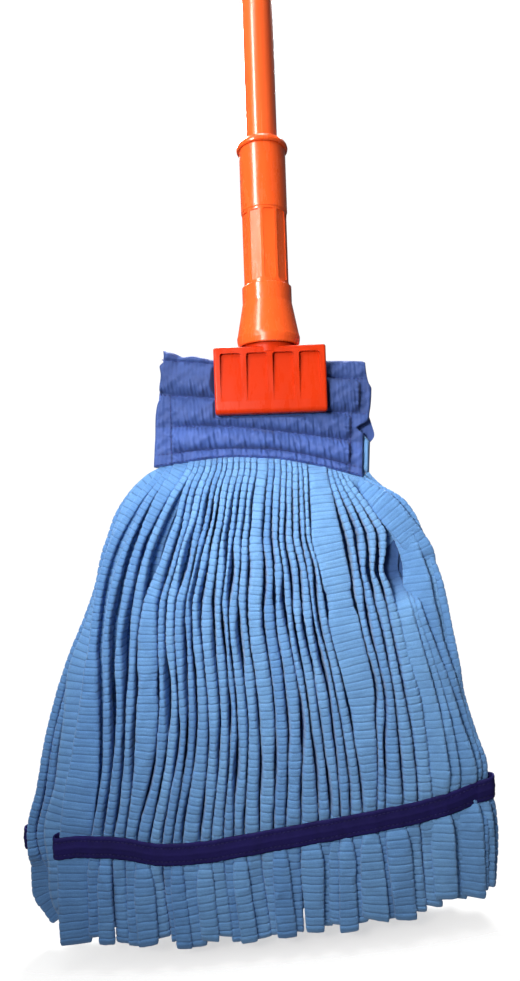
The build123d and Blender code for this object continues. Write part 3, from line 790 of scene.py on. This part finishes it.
def headband_panel(side_name, side, seed):
    """Quilted panel: puffed outer face, flat back, rolled edges, as one closed shell, and its stitches."""
    along, up = 300, 160
    left, right = band_outline(side)
    s = np.linspace(-1, 1, along)
    ease = np.sign(s) * (1 - (1 - np.abs(s)) ** 1.06)
    t = np.linspace(0, 1, up)
    u = np.empty((up, along))
    v = np.empty((up, along))
    for row, share in enumerate(t):
        guess = (1 - share) * 46 + share * -42
        low_u, high_u = left(guess), right(guess)
        u[row] = (low_u + high_u) / 2 + ease * (high_u - low_u) / 2
        top = ROWS["top"](u[row] / BAND_HALF[0])
        v[row] = top + share * (ROWS["hem"](u[row] / BAND_HALF[0]) - top)
        low_u, high_u = left(v[row]), right(v[row])
        u[row] = (low_u + high_u) / 2 + ease * (high_u - low_u) / 2
    quilt = Quilt(seed)
    height, crease = quilt(u, v)
    rim = np.minimum((1 - np.abs(ease))[None, :] * 86, np.minimum(t, 1 - t)[:, None] * 88)
    roll = np.sqrt(np.clip(rim / 2.2, 0, 1) * (2 - np.clip(rim / 2.2, 0, 1)))
    outer = PANEL_BACK + 0.2 + height * (0.10 + 0.90 * roll)
    front = band_to_mop(u, v, side * outer)
    back = band_to_mop(u, v, np.full_like(u, side * PANEL_BACK))
    points, quads = closed_shell(front, back)
    if side > 0:
        quads = quads[:, ::-1]
    piece = mesh_object(f"quilted_band_{side_name}", points, quads, BAND_CLOTH,
                        attributes={"across": np.tile(u.ravel(), 2),
                                    "crease": np.concatenate([crease.ravel(), np.zeros(crease.size)])})
    on_mop(piece, f"headband_{side_name}")

    # lockstitch along every quilting line and down both borders
    stitches = Builder()
    lines = []
    for key, low_u, high_u in (("tuck", -83, 80), ("crease", -84, 84), ("middle", -75, 70.5),
                               ("lower", -84, 76), ("hem", -85, 77)):
        at = np.arange(low_u, high_u, 3.3)
        lift = 1.8 if key == "hem" else 0.0
        lines.append((at, ROWS[key](at / BAND_HALF[0]) + lift, True))
    for low_v, high_v, border, slant in ((-32, 11, BORDER_LEFT, BORDER_LEAN), (-40, 2, BORDER_RIGHT, 0)):
        at = np.arange(low_v, high_v, 3.3)
        lines.append((border - slant * at, at, False))
    for at_u, at_v, level in lines:
        for one_u, one_v in zip(at_u, at_v):
            reach = np.array([-STITCH_HALF, 0, STITCH_HALF])
            along_u = one_u + (reach if level else 0 * reach)
            along_v = one_v + (0 * reach if level else reach)
            height, _ = quilt(along_u, along_v)
            surface = np.full(3, PANEL_BACK + 0.45 + height.mean())
            add_stitch(stitches, band_to_mop(along_u, along_v, side * surface), side)
    on_mop(stitches.piece(f"band_stitching_{side_name}", THREAD))


def add_stitch(builder, ends_and_middle, side):
    """One stitch: a short bowed thread that dives into the cloth at both ends."""
    steps, around = 7, 6
    t = np.linspace(-1, 1, steps)
    centre = np.stack([np.interp(t, (-1, 0, 1), ends_and_middle[:, axis]) for axis in range(3)], -1)
    normal = np.array([0.0, side, 0.0])
    centre = centre - 0.75 * t[:, None] ** 2 * normal
    radius = 0.42 * np.sqrt(np.clip(1 - t**4, 0.05, 1))
    angle = np.arange(around) * 2 * math.pi / around
    tangent = unit(np.gradient(centre, axis=0))
    across = np.cross(tangent, normal)
    ring = (centre[:, None, :] + radius[:, None, None] * (np.cos(angle)[None, :, None] * across[:, None, :]
            + np.sin(angle)[None, :, None] * normal))
    quads, triangles = tube_faces(steps, around)
    builder.add(np.concatenate([ring.reshape(-1, 3), centre[[0, -1]]]), quads[:, ::-1], triangles[:, ::-1],
                across=float(centre[0, 0]), crease=0.0)


def strip_tops():
    """The strips' upper ends, pleated and sewn flat between the two panels."""
    along, up = 420, 26
    share = np.linspace(0, 1, up)[:, None]
    u = np.linspace(-79, 76, along)[None, :] + 0 * share
    u = u + 12 * smoothstep(40, 76, u) * smoothstep(0.58, 0.68, share)
    top = ROWS["top"](u / BAND_HALF[0]) - 5
    hem = ROWS["hem"](u / BAND_HALF[0]) + 4.6
    rng = np.random.default_rng(77)
    v = top + share * (hem - top) + 1.6 * wander(rng, 9)(u) * (1 - share) ** 3
    drift = wander(rng, 22)(u)
    pleat = np.sin(2 * math.pi * u / 4.6 + 1.3 * drift)
    ribs = 0.16 * np.abs(np.sin(math.pi * v / RIDGE)) ** 0.5
    ends = np.minimum(u - u[:, :1], u[:, -1:] - u)
    edge = np.minimum(ends / 2.0, np.minimum(share, 1 - share) * 40)
    front = band_to_mop(u, v, 2.9 - (4.9 + 0.85 * pleat + ribs) * np.sqrt(np.clip(edge, 0.02, 1)))
    back = band_to_mop(u, v, np.full_like(u, 2.95))
    points, quads = closed_shell(front, back)
    # painted shade in the inner folds of the pleats
    crease = 0.55 * smoothstep(-0.55, -0.95, pleat)
    piece = mesh_object("strip_tops", points, quads, MICROFIBRE,
                        attributes={"crease": np.tile(crease.ravel(), 2),
                                    "batch": np.full(len(points), 0.5)})
    on_mop(piece, "headband_core")


headband_panel("front", -1, 5)
headband_panel("rear", 1, 6)
strip_tops()


# ---------------- tail tapes
FOLD_IN = 13.0                  # length of tape turned in behind the last strips
FOLD_RADIUS = 4.8
SEWN = (-0.6, 0.6)              # the two rows of stitches, as shares of the tape's half height
TAPE_POINTS = 25                # across each face


def tape_path(layer, ripple):
    """Plan-view path of the tape's middle, from one turned-in end to the other."""
    left = float(layer.left(TAPE_LEVEL)) + 1.2
    right = float(layer.right(TAPE_LEVEL)) - 3.5
    x = np.linspace(left, right, 380)
    out = layer.face(np.clip(x, left + 13, right - 9), np.full_like(x, TAPE_LEVEL)) + 0.9 + 0.4 * ripple(x)
    turn = np.linspace(-90, 84, 16) * math.pi / 180
    lead = np.linspace(FOLD_IN, 0.8, 10)
    start_x = np.concatenate([left + lead, left - FOLD_RADIUS * np.cos(turn)])
    start_out = np.concatenate([np.full(10, out[0] - 2 * FOLD_RADIUS),
                                out[0] - FOLD_RADIUS + FOLD_RADIUS * np.sin(turn)])
    end_x = np.concatenate([right + FOLD_RADIUS * np.cos(turn[::-1]), right - lead[::-1]])
    end_out = np.concatenate([out[-1] - FOLD_RADIUS + FOLD_RADIUS * np.sin(turn[::-1]),
                              np.full(10, out[-1] - 2 * FOLD_RADIUS)])
    return np.concatenate([start_x, x, end_x]), np.concatenate([start_out, out, end_out])


def tail_tape(side_name, layer, seed):
    """Woven tape sewn across a layer's outer face, with its ends folded round the last strips."""
    rng = np.random.default_rng(seed)
    x, out = tape_path(layer, wander(rng, 38))
    step_x, step_out = np.gradient(x), np.gradient(out)
    length = np.hypot(step_x, step_out)
    normal_x, normal_out = -step_out / length, step_x / length
    s = np.linspace(-1, 1, TAPE_POINTS)
    rolled = 0.55 + 0.55 * (1 - np.abs(s) ** 7)
    sewn = sum(0.3 * np.exp(-(((s - row) / 0.09) ** 2)) for row in SEWN)
    rolled = rolled + 0.35 * np.exp(-((s / 0.16) ** 2))
    edge = 0.25 * wander(rng, 5)(x)[:, None] * s[None, :] ** 2
    thick = np.concatenate([(rolled - sewn)[None, :] + edge, np.full((len(x), TAPE_POINTS), -0.35)], 1)
    level = layer.tape(x)[:, None] - np.concatenate([s, s[::-1]])[None, :] * TAPE_HEIGHT / 2
    ring = np.stack([x[:, None] + thick * normal_x[:, None],
                     layer.side * (out[:, None] + thick * normal_out[:, None]), level], -1)
    rings, around = ring.shape[:2]
    ends = np.stack([ring[0].mean(0), ring[-1].mean(0)])
    quads, triangles = tube_faces(rings, around)
    if layer.side < 0:
        quads, triangles = quads[:, ::-1], triangles[:, ::-1]
    run = np.cumsum(length)
    # painted shade in the two sewn grooves
    line = np.concatenate([sewn, np.zeros(TAPE_POINTS)])
    piece = mesh_object(f"tail_tape_{side_name}", np.concatenate([ring.reshape(-1, 3), ends]), quads,
                        TAPE_CLOTH, triangles,
                        {"across": np.concatenate([np.repeat(run, around), [0, 0]]),
                         "crease": np.concatenate([np.tile(line, rings), [0, 0]])})
    on_mop(piece, f"tail_band_{side_name}")

    stitches = Builder()
    for row in SEWN:
        for at in np.arange(run[0] + 2, run[-1] - 2, 3.4):
            near = np.array([at - STITCH_HALF, at, at + STITCH_HALF])
            across = np.interp(near, run, x)
            raised = np.interp(near, run, out) + 1.05
            centre = np.stack([across, layer.side * raised, layer.tape(across) - row * TAPE_HEIGHT / 2], -1)
            if np.abs(centre[1, 1]) > 8 and np.interp(at, run, step_x / length) > 0.9:
                add_stitch(stitches, centre, layer.side)
    on_mop(stitches.piece(f"tape_stitching_{side_name}", TAPE_THREAD))


tail_tape("front", front_layer, 31)
tail_tape("rear", rear_layer, 32)


# ---------------- floor, light and camera
FLOOR_RADIUS = 0.42             # metres
FLOOR_DEPTH = 0.145             # its share of the width, from front to back
FLOOR_TILT = math.radians(4)    # the tail ends rise towards +X


def plain_floor():
    """A faintly seen sheet under the mop that takes its soft contact shadow."""
    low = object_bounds()[0][2]
    bpy.ops.mesh.primitive_circle_add(vertices=96, radius=FLOOR_RADIUS, fill_type="NGON",
                                      location=(0, 0, low - 0.002))
    floor = bpy.context.object
    floor.scale = (1, FLOOR_DEPTH, 1)
    floor.rotation_euler = (0, -FLOOR_TILT, 0)
    floor.name = "floor"
    look = Look("floor_white", (0.92, 0.92, 0.92), 0.9, Specular_IOR_Level=0.1,
                Emission_Color=(1, 1, 1, 1), Emission_Strength=0.18)
    reach = look.node("TexGradient", "Fac", {"Vector": look.stretched((2.38, 2.38, 2.38))},
                      gradient_type="SPHERICAL")
    look.feed("Alpha", look.spread(reach, 0.12, 0.8, 0.0, 0.54))
    floor.data.materials.append(look.material)


def area_light(name, location, target, size, power, size_y=None, spread=180, colour=(1, 1, 1)):
    """An area light; location and target are metres from the middle of the mop head, spread is in degrees."""
    data = bpy.data.lights.new(name, "AREA")
    data.energy = power
    data.color = colour
    data.size = size
    data.spread = math.radians(spread)
    if size_y:
        data.shape = "RECTANGLE"
        data.size_y = size_y
    light = bpy.data.objects.new(name, data)
    light.location = MIDDLE + Vector(location)
    aim = MIDDLE + Vector(target) - light.location
    light.rotation_euler = aim.to_track_quat("-Z", "Y").to_euler()
    bpy.context.scene.collection.objects.link(light)


def soft_world():
    """White surroundings: bright to the lens, gentler as light."""
    world = bpy.data.worlds.new("studio")
    bpy.context.scene.world = world
    world.use_nodes = True
    nodes, links = world.node_tree.nodes, world.node_tree.links
    background = nodes["Background"]
    background.inputs["Color"].default_value = (1, 1, 1, 1)
    path = nodes.new("ShaderNodeLightPath")
    strength = nodes.new("ShaderNodeMapRange")
    strength.inputs["To Min"].default_value = 0.12
    strength.inputs["To Max"].default_value = 1.05
    links.new(path.outputs["Is Camera Ray"], strength.inputs["Value"])
    links.new(strength.outputs["Result"], background.inputs["Strength"])


CAMERA_DISTANCE = 0.525
CAMERA_BELOW_JAW_TOP = 0.114
CAMERA_SIDE = -0.0113
CAMERA_ROLL = math.radians(2.0)
LENS = 23.5

MIDDLE = Vector((0, 0, JAW_TOP - 0.15))
plain_floor()
soft_world()
area_light("softbox", (-0.80, -0.80, 0.75), (0, 0, 0.12), 0.34, 2.6, size_y=1.4)
area_light("key", (-0.22, -0.57, 0.15), (0, 0, 0.03), 0.14, 1.05, spread=80, colour=(1.0, 0.93, 0.86))
area_light("collar_light", (-0.42, -0.48, 0.60), (0, 0, 0.42), 0.12, 0.8, size_y=0.5, spread=55,
           colour=(1.0, 0.94, 0.88))
area_light("above", (0.03, -0.34, 2.6), (0, 0, 0), 1.0, 33)
for side, power in ((-1, 5), (1, 4)):
    area_light("handle_light", (0.60 * side, 0.90 * side, 1.6), (0, 0, 1.15), 0.5, power, spread=60)
area_light("back", (-0.10, 0.60, 0.85), (0, -0.05, -0.32), 0.4, 22)

bpy.context.scene.view_settings.view_transform = "Standard"
camera_data = bpy.data.cameras.new("camera")
camera_data.lens = LENS
camera_data.sensor_width = 36
camera_data.clip_start = 0.02
camera = bpy.data.objects.new("camera", camera_data)
camera.matrix_world = (Matrix.Translation((CAMERA_SIDE, -CAMERA_DISTANCE, JAW_TOP - CAMERA_BELOW_JAW_TOP))
                       @ Matrix.Rotation(math.pi / 2, 4, "X") @ Matrix.Rotation(-CAMERA_ROLL, 4, "Z"))
bpy.context.scene.collection.objects.link(camera)
bpy.context.scene.camera = camera
